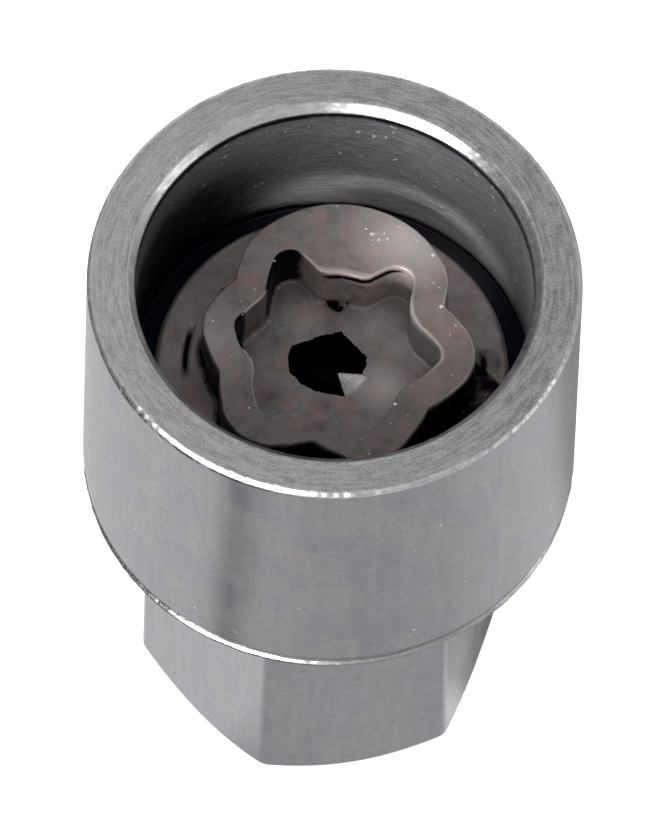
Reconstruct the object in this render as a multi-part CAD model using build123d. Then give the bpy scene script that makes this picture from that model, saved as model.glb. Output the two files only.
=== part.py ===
from build123d import *
from math import asin, atan2, cos, degrees, radians, sin, sqrt, tan
import os

# Key for a locking wheel nut: a turned steel body with a hexagon drive below and a cup
# above, and a hard coded insert brazed into the floor of the cup.
#
# The key stands on its hexagon end. The origin is the centre of that end face, +Z runs up
# the axis to the mouth of the cup, and +X points at a corner of the hexagon.
# Sizes are in millimetres and angles in degrees.

# Hexagon drive
HEX_ACROSS_FLATS = 19.0
HEX_LENGTH = 20.6
HEX_CORNER_RADIUS = 0.7
HEX_CHAMFER_ANGLE = 45.0

# Coded rib: a wall of even thickness on the insert that follows a wave round the axis
RIB_HEIGHT = 3.3
RIB_WALL = 2.05
RIB_EDGE_CHAMFER = 0.15

# The wave is the wall of the pocket inside the rib. Lobes bulge outwards and valleys
# inwards, each a round of one radius, and straight flanks join them. The reach is the
# distance from the axis to the top of a full lobe, and each depth is measured from it.
LOBE_RADIUS = 1.0
LOBE_REACH = 6.42
SHORT_LOBE_DEPTH = 0.77
VALLEY_RADIUS = 2.5
VALLEY_DEPTH = 1.47
SHALLOW_VALLEY_DEPTH = 1.17
LAND_VALLEY_RADIUS = 1.2
LAND_VALLEY_DEPTH = 1.97

# The land is the stretch between two lobes where the rib is filled out. It stands out past
# the outside of those lobes by LAND_RISE, and its pocket wall has two valleys.
LAND_RISE = 0.78

# The code of the key: the angle of each lobe and valley
LAND_LOBE_ANGLES = (35, 105)
LAND_VALLEY_ANGLES = (60, 80)
SHORT_LOBE_ANGLE = 159
PLAIN_LOBE_ANGLES = (219, 279, 339)
PLAIN_VALLEY_ANGLES = (134, 187, 249, 368)
SHALLOW_VALLEY_ANGLE = 309

# A flank shorter than this is left out, because its two rounds already touch
SHORTEST_FLANK = 0.001

# Insert: a flange that lies on the cup floor, with a spigot brazed into a seat below it.
# The ledge is what the flange stands out past the land.
FLANGE_LEDGE = 1.15
FLANGE_THICKNESS = 1.15
FLANGE_EDGE_CHAMFER = 0.25
SPIGOT_DIAMETER = 14.0
SPIGOT_LENGTH = 5.0
SPIGOT_BORE = 7.0
BRAZE_GAP = 0.05

# Torn edge of the hole where the drill broke through the pocket floor, as (angle,
# radius). The one short radius is the tip of a petal of metal that stayed behind.
FLOOR_WEB = 0.6
TORN_EDGE = (
    (-21, 0.32), (-27, 1.9), (6, 2.18), (37, 2.05), (65, 2.5), (97, 2.2),
    (137, 2.75), (152, 2.7), (175, 2.5), (199, 2.15), (228, 1.9), (281, 2.1),
)

# Cup that drops over the nut, wider than the flange by a gap all round
FLANGE_GAP = 1.25
CUP_DEPTH = 11.25
CUP_MOUTH_CHAMFER = 0.55

# Round collar that the cup is bored into, above the hexagon
CUP_WALL = 2.85
COLLAR_HEIGHT = 20.4
COLLAR_RIM_CHAMFER = 0.25
COLLAR_FOOT_CHAMFER = 0.13

# Drilled relief in the body, below the seat and in line with the spigot's bore
RELIEF_DEPTH = 6.0
DRILL_POINT_ANGLE = 118.0

flange_radius = LOBE_REACH + RIB_WALL + LAND_RISE + FLANGE_LEDGE
cup_radius = flange_radius + FLANGE_GAP
collar_radius = cup_radius + CUP_WALL

shoulder_z = HEX_LENGTH
rim_z = shoulder_z + COLLAR_HEIGHT
cup_floor_z = rim_z - CUP_DEPTH
spigot_end_z = cup_floor_z - SPIGOT_LENGTH
flange_top_z = cup_floor_z + FLANGE_THICKNESS


def turned(*profile):
    """Solid turned about Z from corners given as (radius, height)."""
    face = make_face(Plane.XZ * Polyline(*profile, close=True))
    return revolve(face, axis=Axis.Z)


def polar(angle, radius):
    """Point at an angle in degrees and a distance from the axis."""
    return Vector(radius * cos(radians(angle)), radius * sin(radians(angle)))


def hexagon_drive():
    """Hexagon bar with softened corners and a turned chamfer on its end."""
    across_corners = HEX_ACROSS_FLATS * 2 / sqrt(3)
    section = RegularPolygon(HEX_ACROSS_FLATS / 2, 6, major_radius=False)
    section = fillet(section.vertices(), HEX_CORNER_RADIUS)
    corner_drop = (across_corners - HEX_ACROSS_FLATS) / 2 * tan(radians(HEX_CHAMFER_ANGLE))
    envelope = turned(
        (0, 0),
        (HEX_ACROSS_FLATS / 2, 0),
        (across_corners / 2, corner_drop),
        (across_corners / 2, HEX_LENGTH),
        (0, HEX_LENGTH),
    )
    return extrude(section, amount=HEX_LENGTH) & envelope


def collar():
    """Round collar with a small chamfer at its foot and another at its rim."""
    return turned(
        (0, shoulder_z),
        (collar_radius - COLLAR_FOOT_CHAMFER, shoulder_z),
        (collar_radius, shoulder_z + COLLAR_FOOT_CHAMFER),
        (collar_radius, rim_z - COLLAR_RIM_CHAMFER),
        (collar_radius - COLLAR_RIM_CHAMFER, rim_z),
        (0, rim_z),
    )


def body_cavity():
    """Cup, insert seat and drilled relief, as the space that turning takes away."""
    seat = SPIGOT_DIAMETER / 2 + BRAZE_GAP
    seat_z = spigot_end_z - BRAZE_GAP
    relief = SPIGOT_BORE / 2
    relief_z = seat_z - RELIEF_DEPTH
    return turned(
        (0, rim_z),
        (cup_radius + CUP_MOUTH_CHAMFER, rim_z),
        (cup_radius, rim_z - CUP_MOUTH_CHAMFER),
        (cup_radius, cup_floor_z),
        (seat, cup_floor_z),
        (seat, seat_z),
        (relief, seat_z),
        (relief, relief_z),
        (0, relief_z - relief / tan(radians(DRILL_POINT_ANGLE / 2))),
    )


def lobe(angle, depth, growth):
    """Round of a lobe as (centre, signed radius), grown outwards from the pocket's wall."""
    return polar(angle, LOBE_REACH - depth - LOBE_RADIUS), LOBE_RADIUS + growth


def valley(angle, depth, radius, growth):
    """Round of a valley. Its radius is negative because the wave turns the other way."""
    return polar(angle, LOBE_REACH - depth + radius), growth - radius


def land(growth):
    """Large round that touches both land lobes from outside and stands out past them."""
    first, last = LAND_LOBE_ANGLES
    lobe_distance = LOBE_REACH - LOBE_RADIUS
    spare = lobe_distance + LAND_RISE
    along = lobe_distance * cos(radians((last - first) / 2))
    distance = (spare**2 - lobe_distance**2) / (2 * (spare - along))
    return polar((first + last) / 2, distance), LOBE_REACH + growth + LAND_RISE - distance


def wave(growth, with_land):
    """Closed face of the wave, grown outwards from the pocket's wall by growth."""
    rounds = {angle: lobe(angle, 0, growth) for angle in LAND_LOBE_ANGLES + PLAIN_LOBE_ANGLES}
    rounds[SHORT_LOBE_ANGLE] = lobe(SHORT_LOBE_ANGLE, SHORT_LOBE_DEPTH, growth)
    shallow = valley(SHALLOW_VALLEY_ANGLE, SHALLOW_VALLEY_DEPTH, VALLEY_RADIUS, growth)
    rounds[SHALLOW_VALLEY_ANGLE] = shallow
    for angle in PLAIN_VALLEY_ANGLES:
        rounds[angle] = valley(angle, VALLEY_DEPTH, VALLEY_RADIUS, growth)
    if with_land:
        rounds[sum(LAND_LOBE_ANGLES) / 2] = land(growth)
    else:
        for angle in LAND_VALLEY_ANGLES:
            rounds[angle] = valley(angle, LAND_VALLEY_DEPTH, LAND_VALLEY_RADIUS, growth)
    return joined_by_tangents([rounds[angle] for angle in sorted(rounds)])


def joined_by_tangents(rounds):
    """Face bounded by an arc of each round in turn and the straights that touch two each."""
    flanks = []
    for (centre, radius), (next_centre, next_radius) in zip(rounds, rounds[1:] + rounds[:1]):
        step = next_centre - centre
        share = (next_radius - radius) / step.length
        normal = degrees(atan2(step.Y, step.X) - asin(max(-1.0, min(1.0, share)))) - 90
        flanks.append((normal, centre + polar(normal, radius), next_centre + polar(normal, next_radius)))
    edges = []
    arc_start = flanks[-1][2]
    for (centre, radius), before, after in zip(rounds, flanks[-1:] + flanks, flanks):
        sweep = (after[0] - before[0] + 180) % 360 - 180
        middle = centre + polar(before[0] + sweep / 2, radius)
        edges.append(ThreePointArc(arc_start, middle, after[1]))
        arc_start = after[1]
        if (after[2] - after[1]).length > SHORTEST_FLANK:
            edges.append(Line(after[1], after[2]))
            arc_start = after[2]
    return make_face(edges)


def coded_rib():
    """Wavy rib with its eased top edges, standing on the flange."""
    section = wave(RIB_WALL, True) - wave(0, False)
    rib = extrude(Pos(0, 0, flange_top_z) * section, amount=RIB_HEIGHT)
    return chamfer(rib.faces().sort_by(Axis.Z)[-1].edges(), RIB_EDGE_CHAMFER)


def key_body():
    """Turned and milled body."""
    return hexagon_drive() + collar() - body_cavity()


def key_insert():
    """Flange, spigot and rib in one hard piece, with the torn hole in the pocket floor."""
    spigot = SPIGOT_DIAMETER / 2
    bore = SPIGOT_BORE / 2
    blank = turned(
        (bore, spigot_end_z),
        (spigot, spigot_end_z),
        (spigot, cup_floor_z),
        (flange_radius, cup_floor_z),
        (flange_radius, flange_top_z - FLANGE_EDGE_CHAMFER),
        (flange_radius - FLANGE_EDGE_CHAMFER, flange_top_z),
        (0, flange_top_z),
        (0, flange_top_z - FLOOR_WEB),
        (bore, flange_top_z - FLOOR_WEB),
    )
    torn_hole = make_face(Polyline(*[polar(*point) for point in TORN_EDGE], close=True))
    hole = extrude(Pos(0, 0, flange_top_z - FLOOR_WEB) * torn_hole, amount=FLOOR_WEB)
    return blank - hole + coded_rib()


os.makedirs("parts", exist_ok=True)
export_step(key_body(), "parts/key_body.step")
export_step(key_insert(), "parts/key_insert.step")
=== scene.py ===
from math import atan2, cos, pi, radians, sin

import bpy
import numpy as np
from mathutils import Matrix, Vector, noise


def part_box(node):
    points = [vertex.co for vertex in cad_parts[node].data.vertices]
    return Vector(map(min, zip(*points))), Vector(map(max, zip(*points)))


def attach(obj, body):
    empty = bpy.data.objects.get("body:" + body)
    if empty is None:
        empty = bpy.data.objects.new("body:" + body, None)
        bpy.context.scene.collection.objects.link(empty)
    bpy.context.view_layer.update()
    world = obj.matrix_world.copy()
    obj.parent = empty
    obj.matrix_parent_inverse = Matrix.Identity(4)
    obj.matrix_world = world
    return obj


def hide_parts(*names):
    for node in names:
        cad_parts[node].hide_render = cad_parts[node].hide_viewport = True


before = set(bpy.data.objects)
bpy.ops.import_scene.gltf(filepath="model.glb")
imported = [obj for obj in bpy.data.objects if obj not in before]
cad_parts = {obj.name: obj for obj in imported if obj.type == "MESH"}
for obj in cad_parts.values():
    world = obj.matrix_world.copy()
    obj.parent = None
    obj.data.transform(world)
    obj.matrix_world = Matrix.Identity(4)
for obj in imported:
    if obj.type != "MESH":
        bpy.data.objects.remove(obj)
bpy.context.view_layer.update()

# Key body
# One piece of steel, turned and milled and then zinc plated: a hexagon for the wheel brace below,
# a round collar above it, and a cup bored into the collar that drops over the nut.

# Sizes are in millimetres, and a mesh is scaled to metres when it is made
MM = 0.001
collar_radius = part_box("key_body")[1].x / MM
rim_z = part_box("key_body")[1].z / MM
HEX_ACROSS_FLATS = 19.0
HEX_LENGTH = 20.6
HEX_CORNER_RADIUS = 0.7
HEX_END_EASE = 0.15
FOOT_CHAMFER = 0.4
FOOT_HEIGHT = 1.05
LIP_SIZE = 0.16
LIP_EDGE = 0.16
RIM_CHAMFER = 0.25
CUP_RADIUS = 11.65
MOUTH_CHAMFER = 0.55
CUP_FLOOR_Z = 29.75
SEAT_RADIUS = 7.05
SEAT_Z = 24.70
RELIEF_RADIUS = 3.5
RELIEF_Z = 18.70
RELIEF_TIP_Z = 16.60
CENTRE_RADIUS = 0.5

# The rings are closer within this much of the collar's foot and rim, because dirt and painted shade lie
# there
DIRT_REACH = 0.5
# Every ring of a turned mesh has this many points
AROUND = 720
angles = np.arange(AROUND) * 2 * pi / AROUND


def hexagon_radius(angle):
    """Distance from the axis to the hexagon's side, with its corners rounded."""
    sixth = radians(60)
    half = sixth / 2
    off_corner = (angle + half) % sixth - half
    off_face = angle % sixth - half
    flat = HEX_ACROSS_FLATS / 2 / np.cos(off_face)
    centre = (HEX_ACROSS_FLATS / 2 - HEX_CORNER_RADIUS) / cos(half)
    inside = HEX_CORNER_RADIUS**2 - (centre * np.sin(off_corner))**2
    rounded = centre * np.cos(off_corner) + np.sqrt(np.maximum(inside, 0))
    touch = atan2(HEX_CORNER_RADIUS * sin(half), centre + HEX_CORNER_RADIUS * cos(half))
    return np.where(np.abs(off_corner) < touch, rounded, flat)


def ring(radius, height):
    """One ring as (radius, height) for every angle. Each may be a number or an array."""
    both = [np.broadcast_to(radius, AROUND), np.broadcast_to(height, AROUND)]
    return np.stack(both, axis=1).astype(float)


def wander(seed, finest):
    """Smooth random line round the axis, about one high, with up to finest waves in a turn."""
    draw = np.random.default_rng(seed)
    waves = np.arange(2, finest)
    phases = draw.uniform(0, 2 * pi, len(waves))
    sizes = draw.normal(0, 1, len(waves)) / np.sqrt(waves)
    line = (sizes * np.sin(np.outer(angles, waves) + phases)).sum(axis=1)
    return line / np.abs(line).max()


class Profile:
    """Rings collected along a profile, each with its finish and how worn its edge is."""

    # An ease takes up at most this share of the run on either side of its corner
    EASE_SHARE = 0.4
    # A ring this much further out than the ease keeps the faces beside it flat
    FLAT_REACH = 1.2

    def __init__(self):
        self.rings, self.finishes, self.wear = [], [], []

    def add(self, one_ring, finish, wear=0.0):
        """One more ring, with the finish of the faces after it."""
        self.rings.append(one_ring)
        self.finishes.append(finish)
        self.wear.append(wear)

    def trace(self, corners, closed, steps=3):
        """Rings along a profile of corners, each given as (ring, ease, finish, count).

        A corner is rounded by its ease. Its finish and its count of rings are for the run that follows."""
        curves = []
        for i, (corner, ease, _, _) in enumerate(corners):
            curve = [corner]
            if ease:
                arms = []
                for other in (corners[i - 1][0], corners[(i + 1) % len(corners)][0]):
                    length = np.linalg.norm(other - corner, axis=1, keepdims=True)
                    heading = (other - corner) / np.maximum(length, 1e-9)
                    arms.append(heading * np.minimum(ease, self.EASE_SHARE * length))
                shares = np.linspace(0, 1, steps + 1)
                curve = [corner + arms[0] * (1 - t)**2 + arms[1] * t**2 for t in shares]
                before, after = corner + arms[0] * self.FLAT_REACH, corner + arms[1] * self.FLAT_REACH
                curve = [before] + curve + [after]
            curves.append(curve)
        for i, (_, _, finish, count) in enumerate(corners):
            last = len(curves[i]) - 1
            for k, one_ring in enumerate(curves[i]):
                self.add(one_ring, corners[i - 1][2] if 2 * k < last else finish, float(0 < k < last))
            if closed or i + 1 < len(corners):
                start, end = curves[i][-1], curves[(i + 1) % len(corners)][0]
                for t in np.linspace(0, 1, count + 2)[1:-1]:
                    self.add(start + (end - start) * t, finish)

    def points(self):
        """Points of all the rings in millimetres, ring by ring."""
        shape = np.stack(self.rings)
        radius, height = shape[..., 0], shape[..., 1]
        return np.stack([radius * np.cos(angles), radius * np.sin(angles), height], axis=-1)

    def piece(self, name, points, attributes, closed=False):
        """Mesh object through the points, with one material slot for each finish.

        A closed profile ends where it began. An open one is closed by a fan of faces at each end."""
        count = len(self.rings)
        step = np.arange(AROUND)
        turn = (step + 1) % AROUND
        used = list(dict.fromkeys(self.finishes))
        corners = points.reshape(-1, 3)
        faces, finish_index = [], []
        for k in range(count if closed else count - 1):
            here, there = k * AROUND, (k + 1) % count * AROUND
            faces += np.stack([here + step, here + turn, there + turn, there + step], axis=1).tolist()
            finish_index += [used.index(self.finishes[k])] * AROUND
        if not closed:
            last = (count - 1) * AROUND
            middles = np.array([points[0].mean(axis=0), points[-1].mean(axis=0)])
            corners = np.concatenate([corners, middles])
            first_fan = np.stack([turn, step, np.full(AROUND, count * AROUND)], axis=1)
            last_fan = np.stack([last + step, last + turn, np.full(AROUND, count * AROUND + 1)], axis=1)
            faces += first_fan.tolist() + last_fan.tolist()
            for end_finish in (self.finishes[0], self.finishes[-1]):
                finish_index += [used.index(end_finish)] * AROUND
        mesh = bpy.data.meshes.new(name)
        mesh.from_pydata((corners * MM).tolist(), [], faces)
        for label, values in attributes.items():
            layer = mesh.attributes.new(label, "FLOAT", "POINT")
            padded = np.zeros(len(corners), np.float32)
            padded[:points.size // 3] = np.ravel(values)
            layer.data.foreach_set("value", padded)
        for finish in used:
            mesh.materials.append(finish)
        mesh.polygons.foreach_set("material_index", finish_index)
        mesh.polygons.foreach_set("use_smooth", [True] * len(faces))
        mesh.update()
        made = bpy.data.objects.new(name, mesh)
        bpy.context.scene.collection.objects.link(made)
        return made


def add(tree, kind, inputs=None, **settings):
    """New shader node. Each input is a plain value or the socket that feeds it."""
    node = tree.nodes.new("ShaderNode" + kind)
    for name, value in settings.items():
        setattr(node, name, value)
    for name, value in (inputs or {}).items():
        if isinstance(value, bpy.types.NodeSocket):
            tree.links.new(value, node.inputs[name])
        else:
            node.inputs[name].default_value = value
    return node


def number(tree, operation, first, second):
    """Result of one sum on two numbers or sockets."""
    return add(tree, "Math", {0: first, 1: second}, operation=operation).outputs[0]


def weighted(tree, *parts):
    """Sum of several values, each given as (value, share)."""
    total = 0.0
    for value, share in parts:
        total = number(tree, "ADD", total, number(tree, "MULTIPLY", value, share))
    return total


def between(tree, value, low, high, new_low=0.0, new_high=1.0):
    """Value stretched smoothly from one range to another."""
    span = {"Value": value, "From Min": low, "From Max": high, "To Min": new_low, "To Max": new_high}
    return add(tree, "MapRange", span, interpolation_type="SMOOTHSTEP").outputs["Result"]


def mixed(tree, share, first, second):
    """Colour between two others."""
    return add(tree, "Mix", {0: share, 6: first, 7: second}, data_type="RGBA").outputs[2]


def painted(tree, name):
    """Values that the mesh carries under a name."""
    return add(tree, "Attribute", attribute_name=name).outputs["Fac"]


def new_group(name, inputs, outputs):
    """Empty node group with number sockets, and its two end nodes."""
    group = bpy.data.node_groups.new(name, "ShaderNodeTree")
    for label, value in inputs.items():
        socket = group.interface.new_socket(label, in_out="INPUT", socket_type="NodeSocketFloat")
        socket.default_value = value
    for label in outputs:
        group.interface.new_socket(label, in_out="OUTPUT", socket_type="NodeSocketFloat")
    return group, group.nodes.new("NodeGroupInput"), group.nodes.new("NodeGroupOutput")


def millimetres(tree):
    """Place on the piece in millimetres."""
    place = add(tree, "TexCoord").outputs["Object"]
    return add(tree, "VectorMath", {0: place, "Scale": 1 / MM}, operation="SCALE").outputs[0]


def speckle(tree, place, scale, detail=2.0):
    """Noise from 0 to 1 at a number of spots in a millimetre."""
    return add(tree, "TexNoise", {"Vector": place, "Scale": scale, "Detail": detail}).outputs["Fac"]


def turning_marks_group():
    """Fine broken lines round the axis, as a lathe tool leaves them."""
    group, start, end = new_group("turning_marks", {"Lines in a mm": 4.0, "Dashes": 10.0}, ["Marks"])
    point = millimetres(group)
    across = add(group, "VectorMath", {0: point, 1: (1, 1, 0)}, operation="MULTIPLY").outputs[0]
    height = add(group, "SeparateXYZ", {0: point}).outputs["Z"]
    radius = add(group, "VectorMath", {0: across}, operation="LENGTH").outputs["Value"]
    heading = add(group, "VectorMath", {0: across}, operation="NORMALIZE").outputs[0]
    dash = add(group, "SeparateXYZ", {0: heading}).outputs
    # Height counts for more than radius, so that the marks also show on a chamfer of 45 degrees
    along = number(group, "ADD", radius, number(group, "MULTIPLY", height, 1.37))
    place = add(group, "CombineXYZ", {
        0: number(group, "MULTIPLY", dash["X"], start.outputs["Dashes"]),
        1: number(group, "MULTIPLY", dash["Y"], start.outputs["Dashes"]),
        2: number(group, "MULTIPLY", along, start.outputs["Lines in a mm"]),
    }).outputs[0]
    group.links.new(speckle(group, place, 1.0), end.inputs["Marks"])
    return group


def metal_grain_group():
    """Fine grain of a metal skin, and the slow clouds of tone that lie over it."""
    inputs = {"Grains in a mm": 6.0, "Clouds in a mm": 0.2}
    group, start, end = new_group("metal_grain", inputs, ["Grain", "Cloud"])
    place = millimetres(group)
    group.links.new(speckle(group, place, start.outputs["Grains in a mm"]), end.inputs["Grain"])
    group.links.new(speckle(group, place, start.outputs["Clouds in a mm"], 4.0), end.inputs["Cloud"])
    return group


def flecks_group():
    """Small bright flecks, few and scattered."""
    group, start, end = new_group("flecks", {"Flecks in a mm": 2.5, "Threshold": 0.72}, ["Flecks"])
    dots = speckle(group, millimetres(group), start.outputs["Flecks in a mm"], 0.0)
    top = number(group, "ADD", start.outputs["Threshold"], 0.05)
    group.links.new(between(group, dots, start.outputs["Threshold"], top), end.inputs["Flecks"])
    return group


turning_marks = turning_marks_group()
metal_grain = metal_grain_group()
flecks = flecks_group()


def use(tree, group, **inputs):
    """Outputs of a node group placed in a material. Underscores stand for spaces."""
    node = add(tree, "Group", node_tree=group)
    for name, value in inputs.items():
        node.inputs[name.replace("_", " ")].default_value = value
    return node.outputs


def new_finish(name, metallic):
    """Empty material, with its node tree and its shader."""
    material = bpy.data.materials.new(name)
    material.use_nodes = True
    shader = material.node_tree.nodes["Principled BSDF"]
    shader.inputs["Metallic"].default_value = metallic
    return material, material.node_tree, shader.inputs


def raise_bump(tree, shader, height, depth):
    """Bump on a shader, as deep as that many millimetres."""
    bump = add(tree, "Bump", {"Height": height, "Distance": depth * MM, "Strength": 1.0})
    tree.links.new(bump.outputs[0], shader["Normal"])


# Colours of the body's metal, of what lies on it and of its painted light and shade, as red, green, blue
# and alpha
WHITE = (1, 1, 1, 1)
BLACK = (0, 0, 0, 1)
BROWN_STAIN_AND_SHADE = (0.06, 0.052, 0.046, 1)
ZINC_FLECK = (0.8, 0.8, 0.78, 1)
WARM_STEEL = (0.34, 0.27, 0.22, 1)
RUBBED_AND_LIT_STEEL = (0.62, 0.61, 0.60, 1)
RIM_GRIME_AND_SHADE = (0.02, 0.018, 0.018, 1)
WALL_DARK, WALL_LIGHT = (0.13, 0.138, 0.154, 1), (0.29, 0.293, 0.30, 1)
LIT_WALL_DARK, LIT_WALL_LIGHT = (0.5, 0.475, 0.475, 1), (0.72, 0.69, 0.69, 1)
WALL_FLECK = (0.6, 0.6, 0.59, 1)
CUP_SHADE_BLACK = (0.002, 0.0035, 0.008, 1)
WALL_METAL, LIT_WALL_METAL = 0.92, 0.3


def plated_finish(name, cool, warm, roughness):
    """Satin zinc plate, with faint warm and cool tints, drawn streaks and a very fine grain."""
    material, tree, shader = new_finish(name, 1.0)
    skin = use(tree, metal_grain, Grains_in_a_mm=3.0, Clouds_in_a_mm=0.3)
    streaks = use(tree, turning_marks, Lines_in_a_mm=0.12, Dashes=22.0)["Marks"]
    tint = mixed(tree, between(tree, skin["Cloud"], 0.42, 0.64), cool, warm)
    lighter = mixed(tree, 0.05, tint, WHITE)
    toned = mixed(tree, between(tree, streaks, 0.3, 0.8), tint, lighter)
    darker = mixed(tree, 0.9, BLACK, toned)
    toned = mixed(tree, between(tree, skin["Grain"], 0.3, 0.6), darker, toned)
    # Darker where dirt, painted shade and a painted reflection lie
    cloudy = between(tree, skin["Cloud"], 0.3, 0.6, 0.5, 1.0)
    stain_and_shade = number(tree, "MULTIPLY", painted(tree, "grime_and_painted_shade"), cloudy)
    toned = mixed(tree, stain_and_shade, toned, BROWN_STAIN_AND_SHADE)
    bright = use(tree, flecks, Flecks_in_a_mm=3.6, Threshold=0.86)["Flecks"]
    tree.links.new(mixed(tree, bright, toned, ZINC_FLECK), shader["Base Color"])
    satin = between(tree, skin["Cloud"], 0.3, 0.7, roughness, roughness + 0.06)
    tree.links.new(satin, shader["Roughness"])
    raise_bump(tree, shader, skin["Grain"], 0.003)
    return material


def turned_finish(name, dark, light, roughness, depth):
    """Bare turned face under thin plate: grainy, with broken lines round the axis."""
    material, tree, shader = new_finish(name, 1.0)
    skin = use(tree, metal_grain, Grains_in_a_mm=9.0, Clouds_in_a_mm=0.5)
    mottle = use(tree, metal_grain, Grains_in_a_mm=2.0, Clouds_in_a_mm=0.9)["Grain"]
    lines = use(tree, turning_marks, Lines_in_a_mm=6.0, Dashes=9.0)["Marks"]
    texture = weighted(tree, (skin["Grain"], 0.46), (lines, 0.38), (mottle, 0.16))
    toned = mixed(tree, between(tree, texture, 0.38, 0.62), dark, light)
    warm = mixed(tree, 0.1, toned, WARM_STEEL)
    toned = mixed(tree, between(tree, skin["Cloud"], 0.46, 0.62), toned, warm)
    # Lighter where worn and where painted light and highlights lie
    toned = mixed(tree, painted(tree, "wear_and_painted_light"), toned, RUBBED_AND_LIT_STEEL)
    # Darker where dirt and painted shade lie
    grainy = between(tree, skin["Grain"], 0.36, 0.58, 0.4, 0.9)
    stain_and_shade = number(tree, "MULTIPLY", painted(tree, "grime_and_painted_shade"), grainy)
    tree.links.new(mixed(tree, stain_and_shade, toned, RIM_GRIME_AND_SHADE), shader["Base Color"])
    satin = between(tree, skin["Cloud"], 0.3, 0.7, roughness - 0.05, roughness + 0.05)
    tree.links.new(satin, shader["Roughness"])
    raise_bump(tree, shader, texture, depth)
    return material


def bored_finish():
    """Bored wall, painted dark as painted shade and lighter as painted light, with bright broken tool lines
    and flecks.
    """
    material, tree, shader = new_finish("bored_wall", WALL_METAL)
    skin = use(tree, metal_grain, Grains_in_a_mm=5.0, Clouds_in_a_mm=0.25)
    lines = use(tree, turning_marks, Lines_in_a_mm=3.4, Dashes=9.0)["Marks"]
    texture = weighted(tree, (lines, 0.7), (skin["Grain"], 0.3))
    marked = between(tree, texture, 0.38, 0.66)
    # Where painted light lies, the wall is lighter and less metallic
    wear_and_painted_light = painted(tree, "wear_and_painted_light")
    plain_wall = mixed(tree, marked, WALL_DARK, WALL_LIGHT)
    lit_wall = mixed(tree, marked, LIT_WALL_DARK, LIT_WALL_LIGHT)
    wall = mixed(tree, wear_and_painted_light, plain_wall, lit_wall)
    tree.links.new(between(tree, wear_and_painted_light, 0.0, 1.0, WALL_METAL, LIT_WALL_METAL), shader["Metallic"])
    bright = use(tree, flecks, Flecks_in_a_mm=3.2, Threshold=0.77)["Flecks"]
    wall = mixed(tree, bright, wall, WALL_FLECK)
    ragged = number(tree, "MULTIPLY", number(tree, "SUBTRACT", lines, 0.5), 0.9)
    grime_and_painted_shade = between(tree, number(tree, "ADD", painted(tree, "grime_and_painted_shade"), ragged), 0.2, 0.8)
    tree.links.new(mixed(tree, grime_and_painted_shade, wall, CUP_SHADE_BLACK), shader["Base Color"])
    tree.links.new(between(tree, texture, 0.3, 0.7, 0.50, 0.36), shader["Roughness"])
    raise_bump(tree, shader, texture, 0.013)
    return material


collar_finish = plated_finish("plated_collar", (0.328, 0.337, 0.362, 1), (0.365, 0.35, 0.345, 1), 0.24)
hexagon_finish = plated_finish("plated_hexagon", (0.328, 0.342, 0.362, 1), (0.345, 0.347, 0.345, 1), 0.24)
rim_finish = turned_finish("turned_rim", (0.16, 0.158, 0.155, 1), (0.333, 0.331, 0.328, 1), 0.42, 0.014)
chamfer_finish = turned_finish("turned_chamfer", (0.26, 0.26, 0.265, 1), (0.40, 0.40, 0.40, 1), 0.30, 0.01)
wall_finish = bored_finish()

hex_side = hexagon_radius(angles)
end_radius = HEX_ACROSS_FLATS / 2 - HEX_END_EASE
rim_nicks = 0.08 * wander(11, 200)
mouth_nicks = 0.05 * wander(12, 130)
# A fine lip was turned out at the foot of the collar, and it is higher in some places than in others
lip = LIP_SIZE * np.clip(0.95 + 0.35 * wander(13, 200), 0.5, 1)
lip_foot = collar_radius - LIP_SIZE
lip_z = HEX_LENGTH + FOOT_CHAMFER
lip_top = lip_z + LIP_SIZE + 0.07 * wander(14, 300)
# Each corner, its ease, and the finish and the number of rings on the run that follows it
body_corners = [
    (ring(CENTRE_RADIUS, 0), 0, hexagon_finish, 0),
    (ring(end_radius, 0), 0.05, hexagon_finish, 1),
    (ring(hex_side, hex_side - end_radius), 0.08, hexagon_finish, 4),
    (ring(hex_side, HEX_LENGTH), 0.15, collar_finish, 1),
    (ring(collar_radius - FOOT_CHAMFER, HEX_LENGTH), 0.06, collar_finish, 0),
    (ring(lip_foot + lip, lip_z - LIP_EDGE), 0.02, chamfer_finish, 0),
    (ring(lip_foot + lip, lip_z), 0.02, chamfer_finish, 1),
    (ring(lip_foot, lip_top), 0.03, collar_finish, 1),
    (ring(collar_radius, HEX_LENGTH + FOOT_HEIGHT), 0.10, collar_finish, 2),
    (ring(collar_radius, HEX_LENGTH + FOOT_HEIGHT + DIRT_REACH), 0, collar_finish, 3),
    (ring(collar_radius, rim_z - RIM_CHAMFER - DIRT_REACH), 0, collar_finish, 3),
    (ring(collar_radius, rim_z - RIM_CHAMFER + rim_nicks), 0.08, chamfer_finish, 1),
    (ring(collar_radius - RIM_CHAMFER + rim_nicks, rim_z), 0.08, rim_finish, 4),
    (ring(CUP_RADIUS + MOUTH_CHAMFER + mouth_nicks, rim_z), 0.16, chamfer_finish, 1),
    (ring(CUP_RADIUS, rim_z - MOUTH_CHAMFER + mouth_nicks), 0.16, wall_finish, 20),
    (ring(CUP_RADIUS, CUP_FLOOR_Z), 0.10, wall_finish, 3),
    (ring(SEAT_RADIUS, CUP_FLOOR_Z), 0, wall_finish, 0),
    (ring(SEAT_RADIUS, SEAT_Z), 0, wall_finish, 0),
    (ring(RELIEF_RADIUS, SEAT_Z), 0, wall_finish, 0),
    (ring(RELIEF_RADIUS, RELIEF_Z), 0, wall_finish, 0),
    (ring(CENTRE_RADIUS, RELIEF_TIP_Z), 0, wall_finish, 0),
]
shape = Profile()
shape.trace(body_corners, closed=False)
body_points = shape.points()


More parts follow.
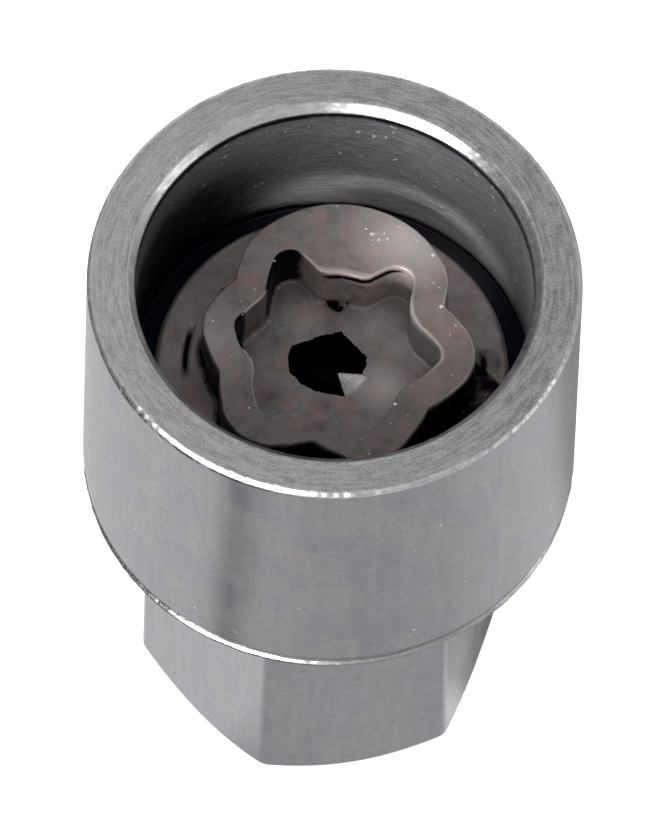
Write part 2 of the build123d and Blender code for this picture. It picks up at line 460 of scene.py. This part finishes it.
def ramp(value, start, end):
    """0 up to the start, 1 from the end on, and straight between them."""
    return np.clip((value - start) / (end - start), 0, 1)


def within(turn, angle, sweep, fade):
    """1 for points within a sweep either side of an angle, fading to 0 at its ends, in degrees."""
    off = np.abs((turn - angle + 180) % 360 - 180)
    return ramp(off, sweep, sweep - fade)


def patchy(seed, finest, middle, swing):
    """Strength from 0 to 1 that comes and goes round the axis."""
    return np.clip(middle + swing * wander(seed, finest), 0, 1)


turn = np.degrees(np.arctan2(body_points[..., 1], body_points[..., 0]))
reach = np.hypot(body_points[..., 0], body_points[..., 1])
level = body_points[..., 2]
# A point this close to the collar's outside lies on its side
SIDE_DEPTH = 0.6
finishes = np.array([finish.name for finish in shape.finishes])[:, None]
in_cup = finishes == wall_finish.name
on_mouth = (finishes == chamfer_finish.name) & (reach < CUP_RADIUS + 1.3 * MOUTH_CHAMFER)
on_side = reach > collar_radius - SIDE_DEPTH

# The cup is painted dark at its bottom and up one side as painted shade, and in a fine dark line under its
# mouth
SHADED_WALL_SIDE = 168
SHADE_LOW_Z, SHADE_HIGH_Z = 29.8, 30.6
SHADE_FULL_Z, SHADE_THIN_Z = rim_z - 6, rim_z - 1
MOUTH_LINE_Z = rim_z - 1.25 * MOUTH_CHAMFER
low_down = ramp(level, SHADE_HIGH_Z, SHADE_LOW_Z)
one_side = np.clip(1.3 * np.cos(np.radians(turn - SHADED_WALL_SIDE)) - 0.1, 0, 1)
up_the_side = np.maximum(ramp(level, SHADE_THIN_Z, SHADE_FULL_Z), 0.3)
under_mouth = ramp(np.abs(level - MOUTH_LINE_Z), 0.15, 0.05)
cup_painted_shade = np.clip(low_down + under_mouth + one_side * up_the_side, 0, 1)

# The wall across from the shaded side is painted lighter as painted light, most of all low down. Half of
# the mouth is painted lighter as a painted highlight, and the other half is painted darker
LIGHT_HIGH_Z, LIGHT_LOW_Z = 34.8, 31.2
FAINT_HIGH_Z, FAINT_LOW_Z = 37, 35
cup_painted_light = within(turn, 60, 54, 34) * ramp(level, LIGHT_HIGH_Z, LIGHT_LOW_Z)**1.4
faint_painted_light = 0.06 * within(turn, 57, 50, 30) * ramp(level, FAINT_HIGH_Z, FAINT_LOW_Z)
cup_painted_light = np.maximum(cup_painted_light, faint_painted_light)
mouth_painted_highlight = 0.2 * within(turn, 158, 85, 30) + 0.15 * within(turn, 185, 30, 20)
mouth_darkening = 0.7 * within(turn, 0, 62, 30)

# Painted shade lies in a line along the lip at the collar's foot, above it on one side and below it on the
# other.
# Dirt also lies on parts of the lip and of the rim, and a dark line lies on the collar just under the rim
DARK_LINE = 0.1
above_lip_z = HEX_LENGTH + FOOT_HEIGHT + 0.3 * DARK_LINE
below_lip_z = lip_z - 0.6 * LIP_EDGE
rim_dirt_z = rim_z - 0.8 * RIM_CHAMFER
below_rim_z = rim_z - RIM_CHAMFER - 1.2 * DARK_LINE
one_half = within(turn, -45, 70, 30)
shade_above_lip = ramp(np.abs(level - above_lip_z), 1.2 * DARK_LINE, 0.2 * DARK_LINE) * (0.5 + 0.5 * one_half)
shade_below_lip = (np.abs(level - below_lip_z) < 0.5 * LIP_EDGE) * (1 - one_half)
on_lip = (level > lip_z - LIP_EDGE) & (level < lip_z + 1.5 * LIP_SIZE)
dirty_lip = on_lip * within(turn, 183, 48, 12) * patchy(15, 300, 0.9, 0.6)
dusty_lip = 0.3 * on_lip * within(turn, -50, 62, 20)
rim_dirt = ramp(np.abs(level - rim_dirt_z), 0.7 * RIM_CHAMFER, 0)
rim_dirt = rim_dirt * np.maximum(within(turn, 178, 42, 12), 0.45 * within(turn, 40, 50, 20))
below_rim = ramp(np.abs(level - below_rim_z), 1.8 * DARK_LINE, 0.8 * DARK_LINE)
below_rim = 1.8 * below_rim * within(turn, 185, 66, 25) * patchy(16, 260, 0.75, 0.9)
side_dirt_and_shade = np.max([shade_above_lip, shade_below_lip, dirty_lip, dusty_lip, rim_dirt, below_rim], axis=0)

# A dark brown painted reflection lies low on the hexagon round one of its corners
REFLECTION_TOP_Z, REFLECTION_FULL_Z = 8.5, 4.5
hexagon_painted_reflection = 0.85 * within(turn, -10, 40, 20) * ramp(level, REFLECTION_TOP_Z, REFLECTION_FULL_Z)
grime_and_painted_shade = np.where(on_side, side_dirt_and_shade, hexagon_painted_reflection)
grime_and_painted_shade = np.where(on_mouth, mouth_darkening, np.where(in_cup, cup_painted_shade, grime_and_painted_shade))

# The rim is rubbed a little all over, and its edges here and there
PLAIN_RUB = 0.08
rim_rub = 0.12 + 0.1 * np.cos(np.radians(turn - SHADED_WALL_SIDE))
edge_wear = np.array(shape.wear)[:, None] * (level > rim_z - 0.1)
wear_and_painted_light = np.where(level > rim_z - 0.01, rim_rub, PLAIN_RUB)
wear_and_painted_light = wear_and_painted_light + 0.3 * edge_wear * patchy(17, 200, 0.1, 1.5)
# In the cup these values are painted light, and on the mouth a painted highlight
wear_and_painted_light = np.where(on_mouth, mouth_painted_highlight, np.where(in_cup, cup_painted_light, wear_and_painted_light))
body = shape.piece("socket_body", body_points, {"grime_and_painted_shade": grime_and_painted_shade, "wear_and_painted_light": wear_and_painted_light})
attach(body, "root")
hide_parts("key_body")

# Key insert
# A hard sintered steel piece brazed into the cup floor: a flange, and on it the coded wavy rib that
# the nut's groove fits over. The middle of its floor is torn where a drill broke through.

insert_low, insert_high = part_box("key_insert")
rib_top_z = insert_high.z / MM
flange_radius = insert_high.x / MM
spigot_end_z = insert_low.z / MM
FLANGE_TOP_Z = 30.90
FLANGE_CHAMFER = 0.25
RIB_EDGE = 0.15
RIB_ROUND = 0.13
WALL_FOOT = 0.3
UNEVEN = 0.02
SPIGOT_RADIUS = 7.0
SPIGOT_BORE_RADIUS = 3.5
FLOOR_WEB = 0.6


def rib_outlines():
    """Radius of the two edges of the rib's top face at every angle, the inner one first."""
    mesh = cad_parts["key_insert"].data
    sides = {}
    for face in mesh.polygons:
        places = [tuple(round(c / MM, 3) for c in mesh.vertices[v].co) for v in face.vertices]
        if all(abs(place[2] - rib_top_z) < 0.002 for place in places):
            for side in zip(places, places[1:] + places[:1]):
                key = frozenset(side)
                sides[key] = sides.get(key, 0) + 1
    # A side that belongs to one face only is on an edge of the top face
    beside = {}
    for one, other in [tuple(side) for side, count in sides.items() if count == 1]:
        beside.setdefault(one, []).append(other)
        beside.setdefault(other, []).append(one)
    outlines = []
    while beside:
        loop, waiting = set(), [next(iter(beside))]
        while waiting:
            place = waiting.pop()
            if place not in loop:
                loop.add(place)
                waiting += beside.pop(place)
        x, y = np.array([place[:2] for place in loop]).T
        turn, reach = np.arctan2(y, x) % (2 * pi), np.hypot(x, y)
        order = np.argsort(turn)
        outlines.append(smooth(np.interp(angles, turn[order], reach[order], period=2 * pi)))
    return sorted(outlines, key=np.mean)


def smooth(line, times=3):
    """Line round the axis with its small kinks taken out."""
    for _ in range(times):
        line = (np.roll(line, 1) + 2 * line + np.roll(line, -1)) / 4
    return line


def offset(line, distance):
    """Outline moved outwards by a distance measured square to itself."""
    slope = np.gradient(np.concatenate([line[-2:], line, line[:2]]), 2 * pi / AROUND)[2:-2] / line
    return line + distance * np.sqrt(1 + slope**2)


# Torn edge of the hole, as (angle, radius), with the tip of the petal at the short radius
TORN_EDGE = (
    (-79, 2.1), (-28, 0.32), (-26, 1.9), (6, 2.18), (37, 2.05), (65, 2.5), (97, 2.2),
    (137, 2.75), (152, 2.7), (175, 2.5), (199, 2.15), (228, 1.9), (281, 2.1),
)
TORN_TEETH = 0.07


def torn_hole():
    """Radius of the torn hole at every angle, straight between its corners and ragged along them."""
    corners = [r * np.exp(1j * radians(a)) for a, r in TORN_EDGE]
    line = np.concatenate([np.linspace(a, b, 200) for a, b in zip(corners, corners[1:])])
    turn = np.angle(line) % (2 * pi)
    order = np.argsort(turn)
    plain = np.interp(angles, turn[order], np.abs(line)[order], period=2 * pi)
    return np.maximum(smooth(plain, 1) + TORN_TEETH * wander(21, 90), 0.3)


# A spot fades out over this much height above the face that it lies on
SPOT_FADE = 0.35


def spots(tree, places, top):
    """Mask of small ragged spots below a height, each given as (angle, radius, size)."""
    point = millimetres(tree)
    across = add(tree, "VectorMath", {0: point, 1: (1, 1, 0)}, operation="MULTIPLY").outputs[0]
    height = add(tree, "SeparateXYZ", {0: point}).outputs["Z"]
    ragged = number(tree, "SUBTRACT", speckle(tree, point, 3.5), 0.5)
    ragged = number(tree, "MULTIPLY", ragged, 0.22)
    mask = 0.0
    for angle, radius, size in places:
        centre = (radius * cos(radians(angle)), radius * sin(radians(angle)), 0)
        gap = add(tree, "VectorMath", {0: across, 1: centre}, operation="DISTANCE").outputs["Value"]
        spot = between(tree, number(tree, "ADD", gap, ragged), size, 0.6 * size)
        mask = number(tree, "MAXIMUM", mask, spot)
    return number(tree, "MULTIPLY", mask, between(tree, height, top, top - SPOT_FADE))


# Colours of the insert's steel, of what lies on it and of its painted light and shade, as red, green, blue
# and alpha
PORE_BLACK = (0.01, 0.01, 0.012, 1)
RED_BROWN = (0.21, 0.125, 0.11, 1)
RUST = (0.28, 0.185, 0.145, 1)
RUBBED_AND_LIT_BROWN = (0.40, 0.36, 0.345, 1)
SHADE_BLACK = (0.004, 0.004, 0.006, 1)
BARE_STEEL = (0.66, 0.65, 0.63, 1)


def sintered_finish(name, cool, warm, roughness, bump, bare_spots=(), pits=()):
    """Sintered steel: brown-grey, pitted by its grain, with flecks, painted light and highlights, and
    painted shade.
    """
    material, tree, shader = new_finish(name, 0.0)
    skin = use(tree, metal_grain, Grains_in_a_mm=4.5, Clouds_in_a_mm=0.33)
    blotches = use(tree, metal_grain, Grains_in_a_mm=1.1, Clouds_in_a_mm=0.7)
    tone = mixed(tree, between(tree, skin["Cloud"], 0.36, 0.64), cool, warm)
    darker = mixed(tree, 0.70, PORE_BLACK, tone)
    tone = mixed(tree, between(tree, blotches["Grain"], 0.3, 0.6), darker, tone)
    reddish = mixed(tree, 0.5, tone, RED_BROWN)
    tone = mixed(tree, between(tree, blotches["Cloud"], 0.5, 0.66), tone, reddish)
    tone = mixed(tree, painted(tree, "rust"), tone, RUST)
    # Lighter where painted light and highlights lie
    tone = mixed(tree, painted(tree, "wear_and_painted_light"), tone, RUBBED_AND_LIT_BROWN)
    uneven = between(tree, blotches["Grain"], 0.25, 0.75, 0.75, 1.25)
    # Darker where painted shade lies
    painted_shade = between(tree, number(tree, "MULTIPLY", painted(tree, "painted_shade"), uneven), 0.15, 0.75)
    painted_shade = number(tree, "MAXIMUM", painted_shade, spots(tree, pits, FLANGE_TOP_Z + SPOT_FADE))
    tone = mixed(tree, painted_shade, tone, SHADE_BLACK)
    scattered = use(tree, flecks, Flecks_in_a_mm=4.2, Threshold=0.82)["Flecks"]
    scattered = number(tree, "MULTIPLY", scattered, 0.6)
    torn = between(tree, skin["Grain"], 0.35, 0.6, 0.55, 1.0)
    torn = number(tree, "MULTIPLY", painted(tree, "bare_and_highlight"), torn)
    bright = number(tree, "MAXIMUM", scattered, torn)
    bright = number(tree, "MAXIMUM", bright, spots(tree, bare_spots, rib_top_z + 0.5))
    tree.links.new(mixed(tree, bright, tone, BARE_STEEL), shader["Base Color"])
    # The painted shade has no sheen, so it is shaded like a black metal
    metal = number(tree, "MAXIMUM", number(tree, "MAXIMUM", painted_shade, bright), 0.3)
    tree.links.new(metal, shader["Metallic"])
    dull = between(tree, skin["Grain"], 0.3, 0.7, roughness - 0.06, roughness + 0.06)
    tree.links.new(dull, shader["Roughness"])
    raise_bump(tree, shader, number(tree, "ADD", skin["Grain"], blotches["Grain"]), bump)
    return material


# Bare flecks that stand out on the rib, as (angle, radius, size)
BARE = (
    (60.9, 7.52, 0.15), (53.8, 7.53, 0.1), (57, 7.3, 0.11), (59.6, 7.12, 0.06),
    (64, 7.75, 0.05), (56, 7.8, 0.07), (8.2, 6.74, 0.14), (-61.2, 5.68, 0.12),
    (33.2, 8.24, 0.11), (-8, 6.9, 0.08), (-4, 7.6, 0.07), (22, 7.1, 0.06),
)
# Pits at the foot of the pocket's rear wall, and a few pores between the rib and the flange.
# Their hollows are painted black as painted shade
PITS = (
    (84, 4.6, 0.18), (80, 4.44, 0.26), (76, 4.25, 0.32), (72.5, 4.12, 0.27), (66.5, 4.5, 0.15),
    (129.4, 8.1, 0.2), (132, 7.6, 0.16), (134, 7.15, 0.16),
)
rib_finish = sintered_finish(
    "sintered_rib", (0.145, 0.127, 0.124, 1), (0.153, 0.126, 0.12, 1), 0.46, 0.02, bare_spots=BARE)
pocket_finish = sintered_finish(
    "sintered_pocket", (0.14, 0.136, 0.14, 1), (0.158, 0.134, 0.128, 1), 0.52, 0.024, pits=PITS)
flange_finish = sintered_finish(
    "sintered_flange", (0.22, 0.192, 0.19, 1), (0.242, 0.194, 0.182, 1), 0.50, 0.022, pits=PITS)

inner_top, outer_top = rib_outlines()
inner_wall = offset(inner_top, -RIB_EDGE) + UNEVEN * wander(22, 60)
outer_wall = offset(outer_top, RIB_EDGE) + UNEVEN * wander(23, 60)
hole = torn_hole()
web_z = FLANGE_TOP_Z - FLOOR_WEB
# Each corner, its ease, and the finish and the number of rings on the run that follows it
insert_corners = [
    (ring(hole, web_z), 0, pocket_finish, 2),
    (ring(SPIGOT_BORE_RADIUS, web_z), 0, flange_finish, 1),
    (ring(SPIGOT_BORE_RADIUS, spigot_end_z), 0, flange_finish, 0),
    (ring(SPIGOT_RADIUS, spigot_end_z), 0, flange_finish, 1),
    (ring(SPIGOT_RADIUS, CUP_FLOOR_Z), 0, flange_finish, 0),
    (ring(flange_radius, CUP_FLOOR_Z), 0, flange_finish, 0),
    (ring(flange_radius, FLANGE_TOP_Z - FLANGE_CHAMFER), 0.08, flange_finish, 0),
    (ring(flange_radius - FLANGE_CHAMFER, FLANGE_TOP_Z), 0.08, flange_finish, 22),
    (ring(outer_wall, FLANGE_TOP_Z), 0.15, flange_finish, 5),
    (ring(outer_wall, rib_top_z), RIB_ROUND, rib_finish, 14),
    (ring(inner_wall, rib_top_z), RIB_ROUND, pocket_finish, 8),
    (ring(inner_wall, FLANGE_TOP_Z), WALL_FOOT, pocket_finish, 24),
    (ring(hole, FLANGE_TOP_Z), 0.06, pocket_finish, 2),
]
shape = Profile()
shape.trace(insert_corners, closed=True, steps=4)
insert_points = shape.points()
turn = np.degrees(np.arctan2(insert_points[..., 1], insert_points[..., 0]))
reach = np.hypot(insert_points[..., 0], insert_points[..., 1])
level = insert_points[..., 2].copy()
# A point this close to the flange's top lies on it, and one this close to the rib's top is on the rib
ON_FACE = 0.1
RIB_BAND = 0.4
on_top = level > FLANGE_TOP_Z - ON_FACE
on_rib = level > rib_top_z - RIB_BAND
on_flange = on_top & (level < rib_top_z - RIB_BAND) & (reach > outer_top)
on_flange_edge = (level > FLANGE_TOP_Z - 0.3) & (reach > flange_radius - 0.35)
in_pocket = on_top & (reach < inner_top + 0.02)
on_floor = in_pocket & (level < FLANGE_TOP_Z + ON_FACE)
pocket_wall = in_pocket * ramp(level, FLANGE_TOP_Z, FLANGE_TOP_Z + 0.4)
down_the_hole = (level < FLANGE_TOP_Z - 0.05) & (reach < SPIGOT_BORE_RADIUS + 0.1)


def near(angle, radius, size):
    """How close each point is to a spot at an angle and a radius: 1 in its middle, 0 a size away."""
    spot_x, spot_y = radius * cos(radians(angle)), radius * sin(radians(angle))
    gap = np.hypot(insert_points[..., 0] - spot_x, insert_points[..., 1] - spot_y)
    return ramp(gap, size, 0)


def patches(*places):
    """Strongest of several round patches, each given as (strength, angle, radius, size)."""
    return np.max([strength * near(*place) for strength, *place in places], axis=0)


def arcs(*places):
    """Strongest of several arcs, each given as (strength, angle, half its sweep, fade)."""
    return np.max([strength * within(turn, *place) for strength, *place in places], axis=0)


# Two arcs that a tool scored into the flange, as (middle angle, half its sweep, radius, depth)
SCORES = ((162, 13, 8.62, 0.35), (-9, 8, 8.93, 0.18))
SCORE_WIDTH = 0.2
SCORE_FADE = 7
scored = np.zeros_like(reach)
for angle, sweep, radius, depth in SCORES:
    groove = np.clip(1.4 * (1 - np.abs(reach - radius) / SCORE_WIDTH), 0, 1)
    groove = groove * within(turn, angle, sweep, SCORE_FADE) * on_flange
    insert_points[..., 2] -= depth * groove
    scored = np.maximum(scored, groove)

# The petal by the hole is bent down, and shows bare steel where it tore. One side of it is also painted
# lighter as a painted highlight
PETAL_ANGLE, PETAL_SWEEP = -54, 28
PETAL_ROOT, PETAL_TIP = 2.2, 0.3
PETAL_TIP_DROP = 0.45
petal = ramp(reach, 2.15, 2.0) * (within(turn, PETAL_ANGLE, PETAL_SWEEP, 1) > 0) * on_floor
insert_points[..., 2] -= PETAL_TIP_DROP * petal * ramp(reach, PETAL_ROOT, PETAL_TIP)
bare_and_highlight = petal * np.clip(ramp(turn, -90, -40), 0.1, 0.9)

# Each pit is a small bowl
PIT_DEPTH = 0.3
PIT_BOWL = 1.6
for angle, radius, size in PITS:
    bowl = near(angle, radius, PIT_BOWL * size) * (np.abs(level - FLANGE_TOP_Z) < ON_FACE)
    insert_points[..., 2] -= PIT_DEPTH * bowl**2 * (3 - 2 * bowl)

# Painted shade fills the scores, two lobes of the pocket and the hole. It lies along the foot of the rib,
# widest in front, along the foot and the rear edge of the pocket, and in patches on the floor, the flange
# and the rib
shade_edge = outer_wall + 0.25 + arcs((0.35, 176, 40, 20), (1.8, -42, 36, 14), (1.2, -114, 20, 10))
rib_foot = ramp(reach, shade_edge, shade_edge - 0.4)
rib_foot = rib_foot * (1 - 0.4 * within(turn, 176, 40, 20)) * (1 - within(turn, 77, 80, 20))
from_foot = np.hypot(np.maximum(inner_wall - reach, 0), level - FLANGE_TOP_Z)
pocket_foot = 0.4 * ramp(from_foot, 0.5, 0) * within(turn, 110, 75, 20)
rear_edge = ramp(np.abs(level - rib_top_z + 0.38), 0.27, 0.09) * within(turn, 62, 30, 14)
red_patch = on_flange * near(-22, 9.0, 1.9)
painted_shade = np.max([
    scored,
    on_flange * rib_foot,
    on_flange * arcs((0.28, 178, 18, 10)),
    on_flange * np.minimum(near(-9, 9.0, 1.5), 0.42),
    in_pocket * pocket_foot,
    in_pocket * patches((0.4, -141, 6.0, 2.2)),
    pocket_wall * rear_edge,
    pocket_wall * arcs((1, 113, 20, 8), (1, 164, 17, 8)),
    on_floor * patches((0.5, -163, 4.3, 2.3), (0.46, -110, 2.6, 1.6)),
    on_rib * arcs((0.38, -95, 75, 40), (0.38, -145, 34, 20)),
], axis=0)
painted_shade = np.where(down_the_hole, 1, painted_shade) * (1 - 0.5 * red_patch)

# Steel is painted lighter as painted light and painted highlights along some edges, on the land and two
# other places of the rib, round the hole, on two walls of the pocket and on one side of the flange
on_edge = np.array(shape.wear)[:, None] * on_rib
inner_edge = arcs((0.6, 66, 42, 8), (0.45, 148, 20, 8), (0.35, -150, 40, 8)) + arcs((0.35, 4, 24, 8))
wear_and_painted_light = np.max([
    on_edge * in_pocket * inner_edge,
    on_edge * (reach > outer_top) * arcs((0.4, -5, 40, 8)),
    on_flange_edge * arcs((0.7, 113, 12, 8)),
    on_flange * patches((0.5, 116, 9.3, 2.4)),
    on_flange * arcs((0.28, 152, 30, 15)),
    on_rib * patches((0.62, 46, 7.9, 3.6), (0.42, 168, 7.2, 2.6), (0.2, 105, 7.9, 3.2)),
    on_floor * patches((0.8, -32, 3.4, 2.2), (0.6, 38, 4.2, 2.6), (0.7, -3, 5.2, 1.4)),
    on_floor * patches((0.35, 105, 3.7, 2.0), (0.55, 9, 4.4, 1.9)),
    pocket_wall * arcs((0.6, -5, 32, 12), (0.58, 70, 44, 10)),
], axis=0)

# Rust shows on the pocket's rear wall and the floor before it, and faintly on the rib and the flange
rust = np.max([
    pocket_wall * arcs((0.85, 72, 42, 8)),
    on_floor * patches((0.6, 100, 4.0, 1.4)),
    on_rib * arcs((0.16, -25, 55, 40)),
    0.7 * red_patch,
], axis=0)

# The skin is slightly uneven, and never stands above the top of the rib. The pocket's rear wall is the
# roughest, and painted shade lies in its hollows
ROUGH = 0.06
COARSE, FINE = 1.7, 4.0
places = [Vector(point) for point in insert_points.reshape(-1, 3)]
lumps = np.array([noise.noise(place * COARSE) + 0.6 * noise.noise(place * FINE) for place in places])
lumps = lumps.reshape(reach.shape)
rough_wall = pocket_wall * within(turn, 72, 48, 15) * ramp(level, rib_top_z - 0.2, rib_top_z - 0.5)
hollows = rough_wall * lumps
insert_points[..., :2] *= (1 + ROUGH * hollows / reach)[..., None]
painted_shade = np.maximum(painted_shade, np.clip(0.14 * rough_wall + 0.5 * hollows, 0, 0.34))
lumps = np.where(level > rib_top_z - ON_FACE, np.minimum(lumps, 0), lumps)
insert_points[..., 2] += UNEVEN * lumps * on_top
insert = shape.piece("coded_insert", insert_points, {
    "wear_and_painted_light": wear_and_painted_light,
    "rust": rust,
    "painted_shade": painted_shade,
    "bare_and_highlight": bare_and_highlight,
}, closed=True)
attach(insert, "root")
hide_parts("key_insert")

# Studio
# A white table under the key, a soft light in front on the left, and a camera far off with a long
# lens that looks down into the cup. The table has a light of its own, so that it stays plain and pale.

CAMERA_AZIMUTH = -13.0
CAMERA_ELEVATION = 60.07
CAMERA_ROLL = -2.12
CAMERA_DISTANCE = 1740.0
IMAGE_HEIGHT = 830
PIXELS_PER_MM = 17.115
SENSOR = 36.0
# How far the rim's centre stands from the middle of the picture, to the right and up
RIM_RIGHT, RIM_UP = 0.722, 7.845


def direction(azimuth, elevation):
    """Unit vector from the key towards a place round it. Azimuth 0 is the -Y side."""
    a, e = radians(azimuth), radians(elevation)
    return Vector((sin(a) * cos(e), -cos(a) * cos(e), sin(e)))


back = direction(CAMERA_AZIMUTH, CAMERA_ELEVATION)
level_right = Vector((cos(radians(CAMERA_AZIMUTH)), sin(radians(CAMERA_AZIMUTH)), 0))
upright = back.cross(level_right)
roll = radians(CAMERA_ROLL)
right = level_right * cos(roll) - upright * sin(roll)
up = level_right * sin(roll) + upright * cos(roll)
place = Vector((0, 0, rim_z)) + back * CAMERA_DISTANCE - right * RIM_RIGHT - up * RIM_UP
lens = bpy.data.cameras.new("camera")
lens.sensor_width = SENSOR
lens.lens = SENSOR * PIXELS_PER_MM * CAMERA_DISTANCE / IMAGE_HEIGHT
lens.clip_end = 10
camera = bpy.data.objects.new("camera", lens)
camera.matrix_world = Matrix.Translation(place * MM) @ Matrix((right, up, back)).transposed().to_4x4()
bpy.context.scene.collection.objects.link(camera)
bpy.context.scene.camera = camera


def table_finish():
    """White paint, a little uneven."""
    material, tree, shader = new_finish("white_table", 0.0)
    skin = use(tree, metal_grain, Grains_in_a_mm=0.5, Clouds_in_a_mm=0.02)
    paint = mixed(tree, skin["Cloud"], (0.86, 0.86, 0.86, 1), (0.90, 0.90, 0.90, 1))
    tree.links.new(paint, shader["Base Color"])
    shader["Roughness"].default_value = 0.7
    return material


TABLE_HALF = 1500.0
# The table lies a hair below the key, so that their two faces don't fall together
TABLE_GAP = 0.02
table_mesh = bpy.data.meshes.new("table")
table_corners = [(-1, -1, 0), (1, -1, 0), (1, 1, 0), (-1, 1, 0)]
table_mesh.from_pydata([Vector(c) * TABLE_HALF * MM for c in table_corners], [], [(0, 1, 2, 3)])
table_mesh.materials.append(table_finish())
table = bpy.data.objects.new("table", table_mesh)
table.location.z = -TABLE_GAP * MM
bpy.context.scene.collection.objects.link(table)


def only_on(name, *objects):
    """Collection that a light is limited to."""
    group = bpy.data.collections.new(name)
    for one in objects:
        group.objects.link(one)
    return group


# The lights aim at this height on the key
AIM_Z = 0.7 * rim_z


def soft_light(name, off_camera, elevation, distance, size, power, receivers, blockers=None):
    """Square soft light that faces the key, at an angle off the camera's side.

    It lights only its receivers. Where blockers are given, only they cast its shadows."""
    light = bpy.data.lights.new(name, "AREA")
    light.size = size * MM
    light.energy = power
    lamp = bpy.data.objects.new(name, light)
    toward = direction(CAMERA_AZIMUTH + off_camera, elevation)
    lamp.location = (Vector((0, 0, AIM_Z)) + toward * distance) * MM
    lamp.rotation_euler = toward.to_track_quat("Z", "Y").to_euler()
    lamp.light_linking.receiver_collection = receivers
    lamp.light_linking.blocker_collection = blockers
    bpy.context.scene.collection.objects.link(lamp)


on_body = only_on("lit_body", body)
on_insert = only_on("lit_insert", insert)
on_table = only_on("lit_table", table)
soft_light("main_light", -34, 24, distance=300, size=180, power=2.8, receivers=on_body)
soft_light("rib_light", -39, 21, distance=300, size=60, power=4.0, receivers=on_insert)
soft_light("edge_light", 78, 13, distance=300, size=120, power=0.09, receivers=on_body)
soft_light("table_light", -60, 70, distance=500, size=500, power=2.8, receivers=on_table, blockers=on_table)

# How bright the card is that the key's sides reflect, by the angle from the camera's side. The hexagon
# reflects the near card and the collar the far one.
FAR_SHADES = (
    (-180, 0.56), (-135, 0.79), (-115, 0.79), (-80, 0.87), (-58, 0.89), (-41, 0.87), (-34, 0.18),
    (-28, 0.60), (-20, 0.75), (-8, 0.65), (10, 0.63), (31, 0.65), (46, 0.67), (60, 0.77),
    (75, 0.80), (86, 0.83), (99, 0.78), (116, 0.36), (150, 0.36), (180, 0.56),
)
NEAR_SHADES = (
    (-180, 0.62), (-100, 0.97), (-75, 0.97), (-42, 0.96), (-22, 0.60), (10, 0.67), (44, 0.68),
    (57, 1.0), (70, 0.58), (80, 0.55), (94, 0.40), (120, 0.34), (180, 0.62),
)


def card_finish(name, shades):
    """Card in greys that change round the key."""
    material = bpy.data.materials.new(name)
    material.use_nodes = True
    tree = material.node_tree
    tree.nodes.remove(tree.nodes["Principled BSDF"])
    place = add(tree, "TexCoord").outputs["Object"]
    round_key = add(tree, "TexGradient", {"Vector": place}, gradient_type="RADIAL")
    greys = add(tree, "ValToRGB", {"Fac": round_key.outputs["Fac"]})
    while len(greys.color_ramp.elements) < len(shades):
        greys.color_ramp.elements.new(0.5)
    for stop, (angle, shade) in zip(greys.color_ramp.elements, shades):
        stop.position = 0.5 + angle / 360
        stop.color = (shade, shade, shade, 1)
    glow = add(tree, "Emission", {"Color": greys.outputs["Color"]})
    tree.links.new(glow.outputs[0], tree.nodes["Material Output"].inputs["Surface"])
    return material


def card(name, radius, height, shades):
    """Flat round card under the key that only its reflections show."""
    mesh = bpy.data.meshes.new(name)
    edge = [(radius * MM * cos(a), radius * MM * sin(a), 0) for a in angles[::10]]
    mesh.from_pydata(edge, [], [range(len(edge))])
    mesh.materials.append(card_finish(name, shades))
    made = bpy.data.objects.new(name, mesh)
    made.location.z = height * MM
    made.rotation_euler.z = radians(CAMERA_AZIMUTH - 90)
    for ray in ("camera", "diffuse", "transmission", "volume_scatter", "shadow"):
        setattr(made, "visible_" + ray, False)
    bpy.context.scene.collection.objects.link(made)


card("far_card", radius=100, height=0.05, shades=FAR_SHADES)
card("near_card", radius=20, height=0.1, shades=NEAR_SHADES)

# Pale, slightly cool light from all round
SKY = (0.97, 0.985, 1.0, 1)
SKY_STRENGTH = 0.90
world = bpy.data.worlds.new("studio")
world.use_nodes = True
world.node_tree.nodes["Background"].inputs["Color"].default_value = SKY
world.node_tree.nodes["Background"].inputs["Strength"].default_value = SKY_STRENGTH
bpy.context.scene.world = world
bpy.context.scene.view_settings.view_transform = "Standard"
